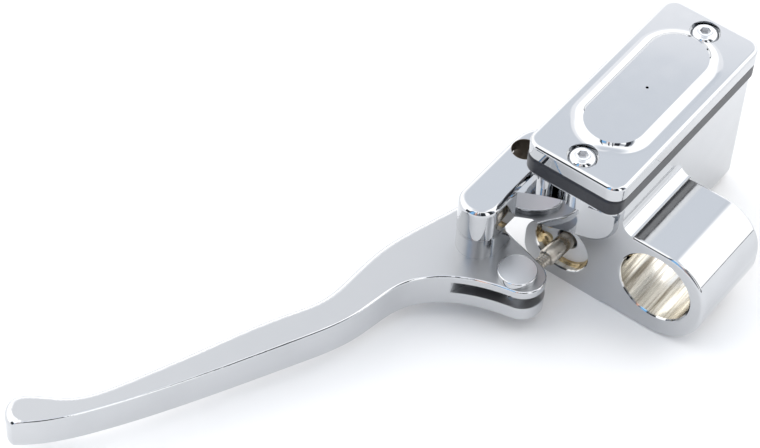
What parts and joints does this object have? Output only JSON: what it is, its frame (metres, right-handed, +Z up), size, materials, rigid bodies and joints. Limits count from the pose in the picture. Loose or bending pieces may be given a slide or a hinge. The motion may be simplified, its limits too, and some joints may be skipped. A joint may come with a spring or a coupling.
{
  "type": "brake master cylinder",
  "caption": "Handlebar brake master cylinder: chromed clamp housing with a lidded rectangular reservoir, a side arm, and a curved hand lever that drives a pushrod into the piston bore.",
  "frame": {"origin": "centre of the handlebar bore, halfway along the clamp barrel", "axes": "X along the handlebar with the lever blade towards -X (outboard), +Y forward away from the rider, +Z up towards the reservoir lid"},
  "size_m": [0.2409, 0.1442, 0.0619],
  "materials": {
    "chrome_casting": "mirror chrome plating over cast aluminium",
    "chrome_lever": "mirror chrome plating over forged aluminium",
    "chrome_hardware": "bright chrome plated steel",
    "bare_steel": "turned stainless steel, fine tool marks",
    "bright_washer": "bright satin steel",
    "zinc_gold": "yellow zinc plated spring steel",
    "brass": "turned brass",
    "bronze": "sintered bronze",
    "black_rubber": "moulded black rubber",
    "piston_aluminium": "turned and anodised aluminium"
  },
  "bodies": {
    "perch": {"housing": "chrome_casting", "reservoir_lid": "chrome_casting", "diaphragm_gasket": "black_rubber", "lid_screws": "chrome_hardware", "splash_baffle": "bright_washer", "bar_set_screw": "bare_steel", "set_screw_brass_tip": "brass", "pivot_screw": "chrome_hardware", "upper_pivot_washer": "bright_washer", "lower_pivot_washer": "bright_washer", "retaining_ring": "zinc_gold", "stop_washer": "bright_washer", "return_spring": "bare_steel"},
    "lever": {"brake_lever": "chrome_lever", "pivot_bushing": "bronze"},
    "pushrod": {"anchor_pin": "chrome_hardware", "anchor_pin_clip": "zinc_gold", "pushrod": "bare_steel"},
    "piston": {"piston": "piston_aluminium", "secondary_seal": "black_rubber", "cup_shim": "bright_washer", "primary_cup": "black_rubber", "spring_seat": "bare_steel"}
  },
  "joints": [
    {"name": "lever_pivot", "type": "hinge", "parent": "perch", "child": "lever", "pos_m": [-0.0367, 0.054, 0], "axis": [0, 0, 1], "range_deg": [0, 22], "stiffness_Nm_per_rad": 0.6, "springref_deg": -20.05},
    {"name": "pushrod_pin", "type": "hinge", "parent": "lever", "child": "pushrod", "pos_m": [-0.0391, 0.0365, -0.0056], "axis": [0, 0, 1], "range_deg": [-22, 0]},
    {"name": "piston_slide", "type": "slide", "parent": "perch", "child": "piston", "axis": [1, 0, 0], "range_m": [0, 0.00675], "deforming": ["return_spring"]}
  ],
  "couplings": [
    {"joint": "pushrod_pin", "follows": "lever_pivot", "ratio": -1},
    {"joint": "piston_slide", "follows": "lever_pivot", "m_per_rad": 0.0175}
  ]
}
